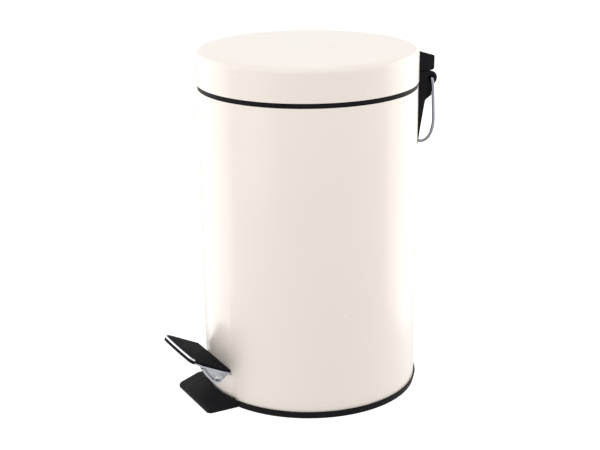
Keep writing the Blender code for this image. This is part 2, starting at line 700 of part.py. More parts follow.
def make_lid_liner():
    """The plastic ring inside the lid's skirt, open behind where the bracket sits."""
    outer = LID_RADIUS - SHEET - GAP
    wall, flange = outer - 1.2 * MM, outer - 3.4 * MM
    low, high = LID_BOTTOM + 1.2 * MM, LID_BOTTOM + 14.5 * MM
    liner = turned("lid_liner", [
        (wall, high), (outer, high), (outer, low), (flange, low), (flange, low + 1.6 * MM),
        (wall, low + 1.6 * MM)], True)
    cut(liner, box("liner_gap", (-16 * MM, 0.05, 0.23), (16 * MM, 0.1, 0.27), cutter=True))
    return finish(settle(liner), LID, "plastic")


def make_lid_hinge_cap():
    """The hollow block on the lid's back edge."""
    side = [(80 * MM, CAP_BOTTOM), (80 * MM, 260.6 * MM), (84.6 * MM, 259.5 * MM),
            (97.6 * MM, 255.8 * MM), (98.8 * MM, 255.2 * MM), (99.1 * MM, 254.2 * MM),
            (99.1 * MM, CAP_BOTTOM + 1.3 * MM), (97.4 * MM, CAP_BOTTOM)]
    half = HOUSING_HALF_WIDTH
    cap = plate("lid_hinge_cap", side, -half, half)
    hollow = box("cap_hollow", (-half + 2 * MM, 86.2 * MM, 0.24), (half - 2 * MM, 96.8 * MM, 253 * MM),
                 cutter=True)
    holes = [cylinder(f"cap_hole_{s}", "Y", HOLE_RADIUS, 0.07, 90 * MM, (x, LID_RIVET_Z), cutter=True,
                      sides=16) for s, x in LID_RIVETS.items()]
    cut(cap, wall_cutter("cap_wall", LID_RADIUS + GAP, 0.2), hollow, *holes)
    return finish(settle(cap), LID, "plastic")


def along_arm(outline):
    """Place points drawn from the hinge along the arm, which slopes down to the rod."""
    turn = math.pi + ARM_REST
    return [(HINGE[0] + u * math.cos(turn) - v * math.sin(turn),
             HINGE[1] + u * math.sin(turn) + v * math.cos(turn)) for u, v in outline]


def make_lid_bracket():
    """Steel hinge bracket: barrel on the pin, plate inside the lid, slotted arm for the rod."""
    y, z = HINGE
    barrel = cylinder("lid_bracket", "X", 4.4 * MM, -6.9 * MM, 6.9 * MM, HINGE, sides=20)
    neck = plate("bracket_neck", [
        (y - 1 * MM, z - 2.6 * MM), (y - 1 * MM, z + 2.6 * MM), (81.7 * MM, z + 3.4 * MM),
        (81.7 * MM, 0.246), (80.3 * MM, 0.246), (80.3 * MM, 235.6 * MM)], -6.4 * MM, 6.4 * MM)
    panel = box("bracket_panel", (-14 * MM, 80.2 * MM, 243.4 * MM), (14 * MM, 81.8 * MM, 260 * MM),
                bevel=0.3 * MM)
    outline = ([(0, -ARM_HALF_WIDTH), (0, ARM_HALF_WIDTH)]
               + arc((ARM_REACH, 0), ARM_HALF_WIDTH, 90, -90, 8))
    arm = plate("bracket_arm", along_arm(outline), 2.4 * MM, 4.4 * MM)
    join(barrel, neck, panel, arm)
    settle(barrel)
    slot_half = 2.3 * MM
    near = HINGE[0] - ROD_Y
    slot = (arc((near + 0.4 * MM, 0), slot_half, 90, 270, 6)
            + arc((ARM_REACH - 0.4 * MM, 0), slot_half, -90, 90, 6))
    slot = plate("arm_slot", along_arm(slot), 1 * MM, 5.4 * MM, cutter=True)
    bore = cylinder("bracket_pin_bore", "X", HINGE_BORE, -0.02, 0.02, HINGE, cutter=True, sides=16)
    holes = [cylinder(f"panel_hole_{s}", "Y", HOLE_RADIUS, 0.07, 0.09, (x, LID_RIVET_Z), cutter=True,
                      sides=16) for s, x in LID_RIVETS.items()]
    cut(barrel, slot, bore, *holes)
    return finish(settle(barrel), LID, "steel")


def make_lid_rivets():
    """Rivets through the bracket's panel, the lid's skirt and the cap's inner wall."""
    for side, x in LID_RIVETS.items():
        rivet = turned(f"lid_rivet_{side}", [
            (0, 88.0 * MM), (1.8 * MM, 88.0 * MM), (2.8 * MM, 87.2 * MM), (2.8 * MM, 86.6 * MM),
            (1.5 * MM, 86.6 * MM), (1.5 * MM, 79.9 * MM), (2.8 * MM, 79.9 * MM),
            (2.8 * MM, 79.4 * MM), (1.8 * MM, 78.7 * MM), (0, 78.7 * MM)], False, axis="Y", steps=16)
        rivet.data.transform(Matrix.Translation((x, 0, LID_RIVET_Z)))
        finish(rivet, LID, "steel")


# ---------------------------------------------------------------- rod, ring, bucket

def make_lift_rod():
    """A wire rod up the back, its top bent sideways through the arm's slot."""
    bend = 2.0 * MM
    top = ROD_HOOK_Z
    route = [(0, ROD_Y, 16.4 * MM), (0, ROD_Y, top - bend)]
    route += [(bend - bend * math.cos(a), ROD_Y, top - bend + bend * math.sin(a))
              for a in (math.radians(30), math.radians(60), math.radians(90))]
    route += [(6.2 * MM, ROD_Y, top)]
    return finish(wire("lift_rod", route, ROD_RADIUS), ROD, "steel")


def make_rod_shoe():
    """The nylon shoe on the rod's foot, rounded below where the lever's tail pushes it."""
    foot = TAIL_TOP + GAP
    bore = ROD_RADIUS + GAP
    shoe = turned("rod_shoe", [
        (0, foot + 1.7 * MM), (bore, foot + 1.7 * MM), (bore, foot + 7.5 * MM),
        (2.9 * MM, foot + 7.5 * MM), (3.2 * MM, foot + 7.1 * MM), (3.2 * MM, foot + 2.2 * MM),
        (2.7 * MM, foot + 0.9 * MM), (1.4 * MM, foot + 0.2 * MM), (0, foot)], False, steps=16)
    shoe.location = (0, ROD_Y, 0)
    return finish(bake(shoe), ROD, "nylon")


def wire_y(z):
    """How far behind the body's axis the hanging ring is at a height."""
    return HINGE[0] + WIRE_OFFSET + WIRE_LEAN * (HINGE[1] - z)


def make_carry_ring():
    """A U of wire whose ends turn in to the hinge bore; it leans out a little as it hangs."""
    y, z = HINGE
    w = WIRE_HALF_WIDTH
    centre = WIRE_BOTTOM + w
    side = [(w - 4.6 * MM, y, z), (w - 1.4 * MM, y, z), (w - 0.4 * MM, y, z - 0.4 * MM),
            (w, y, z - 1.6 * MM), (w, wire_y(centre), centre)]
    bow = []
    for i in range(1, 12):
        a = math.pi * i / 12
        height = centre - w * math.sin(a)
        bow.append((w * math.cos(a), wire_y(height), height))
    mirrored = [(-x, b, c) for x, b, c in side[::-1]]
    return finish(wire("carry_ring", side + bow + mirrored, WIRE_RADIUS), WIRE, "chrome")


def make_inner_bucket():
    """The tapered bucket, hung by its rim; the rim is notched behind for the rod."""
    wall = BUCKET_WALL
    flange = SEAT_TOP + GAP
    bucket = turned("inner_bucket", [
        (0, BUCKET_BOTTOM + wall), (BUCKET_FOOT_RADIUS - wall, BUCKET_BOTTOM + wall),
        (BUCKET_RADIUS - wall, BUCKET_TOP), (BUCKET_RIM, BUCKET_TOP), (BUCKET_RIM, flange),
        (BUCKET_RADIUS, flange), (BUCKET_FOOT_RADIUS, BUCKET_BOTTOM), (0, BUCKET_BOTTOM)], False)
    notch = box("bucket_notch", (-8.5 * MM, 71.4 * MM, 0.2), (8.5 * MM, 0.1, 0.24), cutter=True)
    holes = [cylinder(f"bail_hole_{side}", "X", BAIL_HOLE, *sorted((side * 0.06, side * 0.08)),
                      (0, BAIL_Z), cutter=True, sides=16) for side in (-1, 1)]
    cut(bucket, notch, *holes)
    return finish(settle(bucket), BUCKET, "grey_plastic")


def make_bucket_bail():
    """The bucket's wire handle, folded down to the front inside its mouth."""
    r = BAIL_RADIUS
    end = [(72.0 * MM, 0, BAIL_Z), (67.2 * MM, 0, BAIL_Z)]
    bow = [(r * math.cos(a), -r * math.sin(a), BAIL_Z)
           for a in (math.radians(180 * i / 20) for i in range(1, 20))]
    mirrored = [(-x, b, c) for x, b, c in end[::-1]]
    return finish(wire("bucket_bail", end + bow + mirrored, BAIL_WIRE_RADIUS), BAIL, "steel")


def build():
    """Make every piece of the bin."""
    make_body_shell()
    make_top_ring()
    make_base_ring()
    make_bottom_pan()
    make_hinge_housing()
    make_housing_screws()
    make_hinge_pin()
    make_rod_guide()
    make_pivot_bracket()
    make_bracket_rivets()
    make_pivot_pin()
    make_pedal_lever()
    make_pedal_tread()
    make_lid_shell()
    make_lid_liner()
    make_lid_hinge_cap()
    make_lid_bracket()
    make_lid_rivets()
    make_lift_rod()
    make_rod_shoe()
    make_carry_ring()
    make_inner_bucket()
    make_bucket_bail()


build()
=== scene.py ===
"""The looks of the round pedal bin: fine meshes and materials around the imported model.

Shapes are drawn about the body's own axis in metres, then moved to where the axis stands.
"""

import json
import math

import bmesh
import bpy
from mathutils import Matrix, Vector


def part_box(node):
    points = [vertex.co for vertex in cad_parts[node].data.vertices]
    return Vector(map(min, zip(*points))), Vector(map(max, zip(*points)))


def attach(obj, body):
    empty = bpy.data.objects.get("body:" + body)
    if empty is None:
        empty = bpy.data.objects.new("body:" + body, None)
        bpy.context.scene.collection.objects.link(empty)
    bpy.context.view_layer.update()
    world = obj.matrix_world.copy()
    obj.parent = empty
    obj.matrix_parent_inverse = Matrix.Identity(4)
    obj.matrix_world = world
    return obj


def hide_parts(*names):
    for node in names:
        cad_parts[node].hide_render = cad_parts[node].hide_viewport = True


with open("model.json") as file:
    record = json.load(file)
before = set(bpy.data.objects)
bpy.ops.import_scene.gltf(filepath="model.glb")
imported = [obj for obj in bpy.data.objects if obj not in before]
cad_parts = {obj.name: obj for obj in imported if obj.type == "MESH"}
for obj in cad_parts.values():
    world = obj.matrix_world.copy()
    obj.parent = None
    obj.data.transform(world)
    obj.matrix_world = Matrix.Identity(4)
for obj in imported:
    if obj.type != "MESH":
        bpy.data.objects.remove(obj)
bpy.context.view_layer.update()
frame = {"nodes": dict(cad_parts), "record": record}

MM = 0.001
GAP = 0.3 * MM
ROUND = 192

# ---------------------------------------------------------------- sizes read from the frame

JOINTS = {joint["name"]: joint for joint in frame["record"]["behaviour"]["joints"]}


def middle_height(node):
    """The height of the middle of a node's box."""
    return sum(corner[2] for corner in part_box(node)) / 2


BODY_LOW, BODY_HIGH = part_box("body_shell")
AXIS_Y = (BODY_LOW[1] + BODY_HIGH[1]) / 2
BODY_RADIUS = (BODY_HIGH[0] - BODY_LOW[0]) / 2
BODY_BOTTOM, BODY_TOP = BODY_LOW[2], BODY_HIGH[2]

LID_LOW, LID_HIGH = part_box("lid_shell")
LID_RADIUS = (LID_HIGH[0] - LID_LOW[0]) / 2
LID_BOTTOM, LID_TOP = LID_LOW[2], LID_HIGH[2]
LINER_LOW, LINER_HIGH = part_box("lid_liner")

RING_LOW, RING_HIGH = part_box("top_ring")
RING_RADIUS = (RING_HIGH[0] - RING_LOW[0]) / 2
RING_TOP, SEAT_BOTTOM = RING_HIGH[2], RING_LOW[2]

BASE_LOW, BASE_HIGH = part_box("base_ring")
BASE_RADIUS = BASE_HIGH[0]
FOOT_REACH = AXIS_Y - BASE_LOW[1]
FOOT_TOP = BASE_HIGH[2]

HINGE = (JOINTS["lid_open"]["pos_m"][1] - AXIS_Y, JOINTS["lid_open"]["pos_m"][2])
HOUSING_LOW, HOUSING_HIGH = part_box("hinge_housing")
HOUSING_BOTTOM, HOUSING_HALF_WIDTH = HOUSING_LOW[2], HOUSING_HIGH[0]
KNUCKLE_RADIUS = HOUSING_HIGH[2] - HINGE[1]
CAP_LOW, CAP_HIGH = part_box("lid_hinge_cap")
CAP_BOTTOM, CAP_BACK = CAP_LOW[2], CAP_HIGH[1] - AXIS_Y
RIVET_Z = middle_height("lid_rivet_left")
SCREW_Z = middle_height("housing_screw_left")

PEDAL_PIVOT = (JOINTS["pedal_press"]["pos_m"][1] - AXIS_Y, JOINTS["pedal_press"]["pos_m"][2])
TREAD_HALF_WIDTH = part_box("pedal_tread")[1][0]
LEVER_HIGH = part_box("pedal_lever")[1]
TRAY_HALF_WIDTH, TAIL_END = LEVER_HIGH[0], LEVER_HIGH[1] - AXIS_Y

BUCKET_LOW, BUCKET_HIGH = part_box("inner_bucket")
BUCKET_BOTTOM, BUCKET_TOP = BUCKET_LOW[2], BUCKET_HIGH[2]
BUCKET_RIM = BUCKET_HIGH[0]
BAIL_Z = JOINTS["bail_swing"]["pos_m"][2]
RING_WIRE_LOW, RING_WIRE_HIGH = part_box("carry_ring")
ROD_LOW, ROD_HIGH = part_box("lift_rod")
SHOE_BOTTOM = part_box("rod_shoe")[0][2]

# ---------------------------------------------------------------- the part's other sizes

SHEET = 0.8 * MM
HOLE_RADIUS = 1.8 * MM
BODY_HOLE_RADIUS = 1.9 * MM
RIVET_X = 9.0 * MM
SCREW_X = 14.0 * MM

# The slot behind the pedal, and the notch for the lift rod's arm
SLOT_HALF_WIDTH = 24 * MM
SLOT_BOTTOM = 9.8 * MM
SLOT_TOP = 31.8 * MM
SLOT_CORNER = 4.5 * MM
ARM_SLOT = 7.5 * MM
ARM_NOTCH_BOTTOM = 220.5 * MM

# Lid, ring under it and base
LID_CORNER = 4.5 * MM
LINER_WALL = 1.2 * MM
LINER_FLANGE = 3.4 * MM
LINER_LIP = 1.6 * MM
LINER_GAP_HALF_WIDTH = 16 * MM
RING_SKIRT_GAP = 0.4 * MM
RING_WALL = 2.0 * MM
SEAT_TOP = SEAT_BOTTOM + 2.2 * MM
SEAT_INNER = 72.5 * MM
BASE_TOP = 5.6 * MM
BASE_FLOOR = 2 * MM
BASE_LIP_TOP = 7 * MM
BASE_LIP_WALL = 1.4 * MM
BASE_FOOT_RADIUS = 83.9 * MM
BASE_INNER = 76.0 * MM
FOOT_INNER = 86.0 * MM
FOOT_LIP = 1.8 * MM
FOOT_HALF_WIDTH = 29.5 * MM
FOOT_CORNER = 4.0 * MM

# Hinge; the groove in each end of its bore has an inner and an outer radius
LID_SWING = math.hypot(HINGE[0] - LID_RADIUS, LID_BOTTOM - HINGE[1]) - 0.4 * MM
HINGE_BORE = 2.0 * MM
BORE_GROOVE = (2.6 * MM, 3.2 * MM)
BORE_GROOVE_DEPTH = 0.9 * MM
INSIDE_WALL = 80 * MM  # where the hinge parts' outlines start, before they are cut to the wall

# Tread and lever
PEDAL_SLOPE = math.radians(25.9)
TREAD_LENGTH = 34.0 * MM
TREAD_CORNER = 8.5 * MM
TREAD_BOW = 0.6 * MM
TREAD_THICKNESS = 2.0 * MM
TREAD_LIP = 3.6 * MM
TREAD_LIP_WALL = 0.9 * MM
TREAD_EDGE = (84.6 * MM, 32.55 * MM)
CORNER_X = TREAD_HALF_WIDTH - TREAD_CORNER
CORNER_Y = TREAD_LENGTH - TREAD_BOW - TREAD_CORNER
TRIM_WIDTH = 1.2 * MM
PIP_PITCH = 2.9 * MM
PIP_ROWS, PIP_COLUMNS = 10, 20
PIP_RADIUS = 0.85 * MM
PIP_SINK = 0.15 * MM
PIP_FLATNESS = 0.45
PIP_MARGIN = 2.6 * MM
LEVER_SHEET = 1.2 * MM
LEVER_HALF_WIDTH = 22.6 * MM
LEVER_RIM = 2 * MM
LEVER_EYE = 6 * MM
LEVER_BORE = 2.3 * MM
LEVER_HOLE = (-93.2 * MM, 25.2 * MM)
LEVER_HOLE_RADIUS = 1.4 * MM
TRAY_START = 3.8 * MM
TRAY_INSET = 1.3 * MM
WEB_SHEET = 1.0 * MM
CREASE_WIDTH = 0.7 * MM
TAIL_HALF_WIDTH = 7 * MM
TAIL_SHEET = 1.4 * MM
TAIL_RIB = 1.2 * MM
TAIL_Z = 13.4 * MM

# The lever's lower outline from the pin outwards, as (y, z) in millimetres
LEVER_EDGE = ((-57.0, 14.5), (-74.0, 20.5), (-83.6, 25.9), (-86.0, 23.9), (-88.4, 22.2),
              (-91.0, 21.5), (-94.7, 21.8), (-98.3, 24.1), (-101.8, 28.6), (-105.7, 35.2),
              (-107.3, 39.6))

# Wires and bucket
WIRE_RADIUS = 1.2 * MM
WIRE_OFFSET = 0.5 * MM
WIRE_LEAN = 0.05
ROD_RADIUS = 1.25 * MM
ROD_BEND = 2 * MM
ROD_Y = 78.8 * MM
BUCKET_RADIUS = 71.0 * MM
BUCKET_FOOT_RADIUS = 63.5 * MM
BUCKET_WALL = 1.4 * MM
BUCKET_FOOT_STEP = 0.6 * MM
BAIL_RADIUS = 66.0 * MM
BAIL_WIRE_RADIUS = 1.3 * MM
BAIL_HOLE = 1.9 * MM


# ---------------------------------------------------------------- mesh helpers

def arc(centre, radius, start, end, count):
    """Points on an arc in degrees, both ends included."""
    angles = [math.radians(start + (end - start) * i / count) for i in range(count + 1)]
    return [(centre[0] + radius * math.cos(a), centre[1] + radius * math.sin(a)) for a in angles]


def fillet(points, radius, closed=True, steps=5):
    """An outline with rounded corners; radius is one number, or one for each corner."""
    count = len(points)
    radii = radius if isinstance(radius, (list, tuple)) else [radius] * count
    out = []
    for i, (point, r) in enumerate(zip(points, radii)):
        here = Vector(point)
        if r <= 0 or (not closed and i in (0, count - 1)):
            out.append(tuple(here))
            continue
        before = Vector(points[i - 1]) - here
        after = Vector(points[(i + 1) % count]) - here
        half = before.angle(after) / 2
        if half > math.radians(89):
            out.append(tuple(here))
            continue
        reach = min(r / math.tan(half), before.length * 0.49, after.length * 0.49)
        r = reach * math.tan(half)
        centre = here + (before.normalized() + after.normalized()).normalized() * r / math.sin(half)
        start = here + before.normalized() * reach - centre
        end = here + after.normalized() * reach - centre
        for k in range(steps + 1):
            out.append(tuple(centre + start.lerp(end, k / steps).normalized() * r))
    return out


def to_mesh(name, bm):
    """A mesh from a bmesh, welded and with outward faces."""
    bmesh.ops.remove_doubles(bm, verts=bm.verts, dist=0.000001)
    bmesh.ops.recalc_face_normals(bm, faces=bm.faces)
    mesh = bpy.data.meshes.new(name)
    bm.to_mesh(mesh)
    bm.free()
    return mesh


def turned(name, profile, closed=True, steps=ROUND):
    """A profile of (radius, height) points turned about the Z axis."""
    bm = bmesh.new()
    verts = [bm.verts.new((r, 0, z)) for r, z in profile]
    ends = verts[1:] + verts[:1] if closed else verts[1:]
    edges = [bm.edges.new(pair) for pair in zip(verts, ends)]
    bmesh.ops.spin(bm, geom=verts + edges, cent=(0, 0, 0), axis=(0, 0, 1),
                   angle=math.tau, steps=steps)
    return to_mesh(name, bm)


def drum(name, radius, low, high):
    """A solid drum about the Z axis."""
    return turned(name, [(0, high), (radius, high), (radius, low), (0, low)], closed=False)


def slab(name, outline, low, high, flat=False):
    """An outline extruded from low to high: (y, z) along X, or (x, y) along Z when flat."""
    bm = bmesh.new()
    verts = [bm.verts.new((u, v, low) if flat else (low, u, v)) for u, v in outline]
    face = bm.faces.new(verts)
    moved = bmesh.ops.extrude_face_region(bm, geom=[face])["geom"]
    step = (0, 0, high - low) if flat else (high - low, 0, 0)
    bmesh.ops.translate(bm, vec=step, verts=[v for v in moved if isinstance(v, bmesh.types.BMVert)])
    return to_mesh(name, bm)


def block(name, low, high, radius=0.0):
    """A box between two corners, with rounded edges when radius is given."""
    bm = bmesh.new()
    bmesh.ops.create_cube(bm, size=1)
    bmesh.ops.scale(bm, vec=[b - a for a, b in zip(low, high)], verts=bm.verts)
    bmesh.ops.translate(bm, vec=[(a + b) / 2 for a, b in zip(low, high)], verts=bm.verts)
    if radius:
        bmesh.ops.bevel(bm, geom=bm.edges[:], offset=radius, segments=4, profile=0.5, affect='EDGES')
    return to_mesh(name, bm)


ALONG = {
    "X": Matrix.Rotation(math.radians(90), 4, 'Y'),
    "Y": Matrix.Rotation(math.radians(-90), 4, 'X'),
}


def rod(name, axis, radius, low, high, centre, sides=48):
    """A round bar along X or Y from low to high; centre gives the other two coordinates."""
    bm = bmesh.new()
    bmesh.ops.create_cone(bm, cap_ends=True, segments=sides, radius1=radius, radius2=radius,
                          depth=high - low)
    bm.transform(ALONG[axis])
    middle = (low + high) / 2
    place = {"X": (middle, *centre), "Y": (centre[0], middle, centre[1])}
    bmesh.ops.translate(bm, vec=place[axis], verts=bm.verts)
    return to_mesh(name, bm)


def wire(name, points, radius, sides=6):
    """A round wire through points, with closed ends."""
    curve = bpy.data.curves.new(name, 'CURVE')
    curve.dimensions = '3D'
    curve.bevel_depth = radius
    curve.bevel_resolution = sides
    curve.use_fill_caps = True
    spline = curve.splines.new('POLY')
    spline.points.add(len(points) - 1)
    for point, co in zip(spline.points, points):
        point.co = (*co, 1)
    holder = bpy.data.objects.new(name, curve)
    mesh = baked(holder)
    bm = bmesh.new()
    bm.from_mesh(mesh)
    return to_mesh(name, bm)


def baked(holder):
    """The evaluated mesh of an object, which is then removed."""
    bpy.context.scene.collection.objects.link(holder)
    bpy.context.view_layer.update()
    depsgraph = bpy.context.evaluated_depsgraph_get()
    mesh = bpy.data.meshes.new_from_object(holder.evaluated_get(depsgraph))
    bpy.data.objects.remove(holder, do_unlink=True)
    return mesh


def combined(mesh, others, operation):
    """A mesh with others cut away ('DIFFERENCE') or joined on ('UNION')."""
    holder = bpy.data.objects.new(mesh.name, mesh)
    tools = []
    for other in others:
        tool = bpy.data.objects.new(other.name, other)
        bpy.context.scene.collection.objects.link(tool)
        tools.append(tool)
        modifier = holder.modifiers.new("combine", 'BOOLEAN')
        modifier.operation = operation
        modifier.solver = 'EXACT'
        modifier.object = tool
    result = baked(holder)
    for tool in tools:
        bpy.data.objects.remove(tool, do_unlink=True)
    bm = bmesh.new()
    bm.from_mesh(result)
    bmesh.ops.dissolve_degenerate(bm, edges=bm.edges, dist=0.000002)
    return to_mesh(mesh.name, bm)


def cut(mesh, *tools):
    """A mesh with others cut away."""
    return combined(mesh, tools, 'DIFFERENCE')


def join(mesh, *others):
    """A mesh with others joined on."""
    return combined(mesh, others, 'UNION')


def rounded(mesh, width, angle=40, segments=3):
    """A mesh with its sharp edges rounded."""
    holder = bpy.data.objects.new(mesh.name, mesh)
    bevel = holder.modifiers.new("edges", 'BEVEL')
    bevel.width = width
    bevel.segments = segments
    bevel.limit_method = 'ANGLE'
    bevel.angle_limit = math.radians(angle)
    bevel.use_clamp_overlap = True
    return baked(holder)


def hole_pair(radius, spread, height, end=100 * MM):
    """Two round cutters along Y through the rear wall, one on each side of the middle."""
    return [rod(f"hole{x}", "Y", radius, 70 * MM, end, (x, height)) for x in (-spread, spread)]


# ---------------------------------------------------------------- materials

# Most values of a noise texture lie between these
NOISE_LOW, NOISE_HIGH = 0.3, 0.7


def noise(nodes, links, coords, scale, detail=2.0, stretch=None):
    """A noise texture in object space, stretched along the axes when asked."""
    texture = nodes.new("ShaderNodeTexNoise")
    texture.inputs["Scale"].default_value = scale
    texture.inputs["Detail"].default_value = detail
    source = coords.outputs["Object"]
    if stretch:
        mapping = nodes.new("ShaderNodeMapping")
        mapping.inputs["Scale"].default_value = stretch
        links.new(source, mapping.inputs["Vector"])
        source = mapping.outputs["Vector"]
    links.new(source, texture.inputs["Vector"])
    return texture.outputs["Fac"]


def painted_gap_shade(nodes, links, colour, left):
    """Painted shade: a colour that falls to a share of itself, called left, in gaps of a few
    millimetres, where shade falls.
    """
    shade = nodes.new("ShaderNodeAmbientOcclusion")
    shade.inputs["Distance"].default_value = 3 * MM
    share = nodes.new("ShaderNodeMapRange")
    share.inputs["From Min"].default_value = 0.25
    share.inputs["From Max"].default_value = 0.95
    share.inputs["To Min"].default_value = left
    links.new(shade.outputs["AO"], share.inputs["Value"])
    scale = nodes.new("ShaderNodeVectorMath")
    scale.operation = 'SCALE'
    links.new(colour, scale.inputs["Vector"])
    links.new(share.outputs["Result"], scale.inputs["Scale"])
    return scale.outputs["Vector"]


def surface(name, color, roughness, metallic=0.0, variation=0.03, patch=14.0, rough_scale=60.0,
            grain=1800.0, grain_depth=0.02, stretch=None, coat=0.0, specular=0.5, crevice=None):
    """A procedural finish: colour and roughness drift over the surface, with a fine grain in it.

    roughness is a (low, high) pair; grain_depth is the grain's height in millimetres; crevice is
    how much of the colour is left in the narrowest gaps, where painted shade darkens it.
    """
    material = bpy.data.materials.new(name)
    material.use_nodes = True
    nodes, links = material.node_tree.nodes, material.node_tree.links
    shader = nodes["Principled BSDF"]
    coords = nodes.new("ShaderNodeTexCoord")
    shade = nodes.new("ShaderNodeValToRGB")
    shade.color_ramp.elements[0].position = NOISE_LOW
    shade.color_ramp.elements[1].position = NOISE_HIGH
    shade.color_ramp.elements[0].color = (*(c * (1 - variation) for c in color), 1)
    shade.color_ramp.elements[1].color = (*(min(1, c * (1 + variation)) for c in color), 1)
    links.new(noise(nodes, links, coords, patch, 3.0, stretch), shade.inputs["Fac"])
    colour = shade.outputs["Color"]
    # Painted shade: the colour darkens in narrow gaps and creases.
    if crevice is not None:
        colour = painted_gap_shade(nodes, links, colour, crevice)
    links.new(colour, shader.inputs["Base Color"])
    gloss = nodes.new("ShaderNodeMapRange")
    gloss.inputs["From Min"].default_value = NOISE_LOW
    gloss.inputs["From Max"].default_value = NOISE_HIGH
    gloss.inputs["To Min"].default_value = roughness[0]
    gloss.inputs["To Max"].default_value = roughness[1]
    links.new(noise(nodes, links, coords, rough_scale, 4.0, stretch), gloss.inputs["Value"])
    links.new(gloss.outputs["Result"], shader.inputs["Roughness"])
    bump = nodes.new("ShaderNodeBump")
    bump.inputs["Strength"].default_value = 1.0
    bump.inputs["Distance"].default_value = grain_depth * MM
    links.new(noise(nodes, links, coords, grain, 2.0, stretch), bump.inputs["Height"])
    links.new(bump.outputs["Normal"], shader.inputs["Normal"])
    shader.inputs["Metallic"].default_value = metallic
    shader.inputs["Coat Weight"].default_value = coat
    shader.inputs["Coat Roughness"].default_value = 0.06
    shader.inputs["Specular IOR Level"].default_value = specular
    return material


def painted_facing_reflection(material, share):
    """Painted reflection in a metal's colour: up to 1.4 times brighter where its surface faces the view
    and darker where it turns away, down to a share of its colour.
    """
    nodes, links = material.node_tree.nodes, material.node_tree.links
    shader = nodes["Principled BSDF"]
    source = shader.inputs["Base Color"].links[0].from_socket
    facing = nodes.new("ShaderNodeLayerWeight")
    facing.inputs["Blend"].default_value = 0.45
    ramp = nodes.new("ShaderNodeMapRange")
    ramp.inputs["From Min"].default_value = 0.15
    ramp.inputs["From Max"].default_value = 0.75
    ramp.inputs["To Min"].default_value = 1.4
    ramp.inputs["To Max"].default_value = share
    links.new(facing.outputs["Facing"], ramp.inputs["Value"])
    scale = nodes.new("ShaderNodeVectorMath")
    scale.operation = 'SCALE'
    links.new(source, scale.inputs["Vector"])
    links.new(ramp.outputs["Result"], scale.inputs["Scale"])
    links.new(scale.outputs["Vector"], shader.inputs["Base Color"])


BRUSHED = (1.0, 0.05, 1.0)
DRAWN = (1.0, 1.0, 0.06)

ENAMEL = surface("cream_enamel", (0.715, 0.652, 0.594), (0.22, 0.28), variation=0.012, patch=9.0,
                 rough_scale=35.0, grain=420.0, grain_depth=0.006, coat=0.10, specular=0.36)
PLASTIC = surface("black_plastic", (0.0092, 0.0088, 0.0102), (0.38, 0.50), variation=0.10,
                  patch=60.0, rough_scale=240.0, grain=3200.0, grain_depth=0.030, specular=0.03)
RUBBER = surface("tread_rubber", (0.0085, 0.0085, 0.0105), (0.42, 0.58), variation=0.12,
                 patch=90.0, rough_scale=300.0, grain=2600.0, grain_depth=0.040, specular=0.01)
# bright_steel has painted shade in its gaps and creases, down to 0.12 of its colour.
BRIGHT = surface("bright_steel", (0.50, 0.52, 0.56), (0.20, 0.32), metallic=1.0, variation=0.03,
                 patch=500.0, rough_scale=700.0, grain=2600.0, grain_depth=0.010, stretch=BRUSHED,
                 crevice=0.12)
ZINC = surface("zinc_steel", (0.52, 0.53, 0.55), (0.28, 0.42), metallic=1.0, variation=0.10,
               patch=150.0, rough_scale=400.0, grain=2400.0, grain_depth=0.012)
CHROME = surface("chrome_wire", (0.24, 0.25, 0.30), (0.07, 0.14), metallic=1.0, variation=0.02,
                 patch=200.0, rough_scale=500.0, grain=1500.0, grain_depth=0.004)
# Painted reflection on the chrome wire: a bright core and dark edges, set by the viewing angle.
painted_facing_reflection(CHROME, 0.14)
NYLON = surface("white_nylon", (0.72, 0.71, 0.67), (0.42, 0.55), variation=0.03, patch=120.0,
                rough_scale=300.0, grain=2400.0, grain_depth=0.020)
BUCKET = surface("bucket_plastic", (0.075, 0.078, 0.082), (0.40, 0.52), variation=0.06, patch=25.0,
                 rough_scale=150.0, grain=2200.0, grain_depth=0.030, stretch=DRAWN)
DRAWN_WIRE = surface("drawn_wire", (0.55, 0.56, 0.58), (0.20, 0.32), metallic=1.0, variation=0.06,
                     patch=300.0, rough_scale=800.0, grain=2600.0, grain_depth=0.008)


# ---------------------------------------------------------------- adding pieces

def add(name, mesh, material, body, nodes, sharp=32):
    """Put a mesh where the body's axis stands, with its material, on its body, in place of the CAD
    nodes it hides.
    """
    mesh.transform(Matrix.Translation((0, AXIS_Y, 0)))
    mesh.materials.clear()
    mesh.materials.append(material)
    mesh.shade_smooth()
    mesh.set_sharp_from_angle(angle=math.radians(sharp))
    obj = bpy.data.objects.new(name, mesh)
    bpy.context.scene.collection.objects.link(obj)
    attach(obj, body)
    if nodes:
        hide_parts(*nodes)
    return obj


def carry_over(names, material):
    """CAD nodes that show as they are, with their material and smooth shading."""
    for name in names:
        node = frame["nodes"][name]
        node.data.materials.clear()
        node.data.materials.append(material)
        node.data.shade_smooth()
        node.data.set_sharp_from_angle(angle=math.radians(35))


# ---------------------------------------------------------------- shell

SWAP_Y_AND_Z = Matrix(((1, 0, 0, 0), (0, 0, 1, 0), (0, 1, 0, 0), (0, 0, 0, 1)))


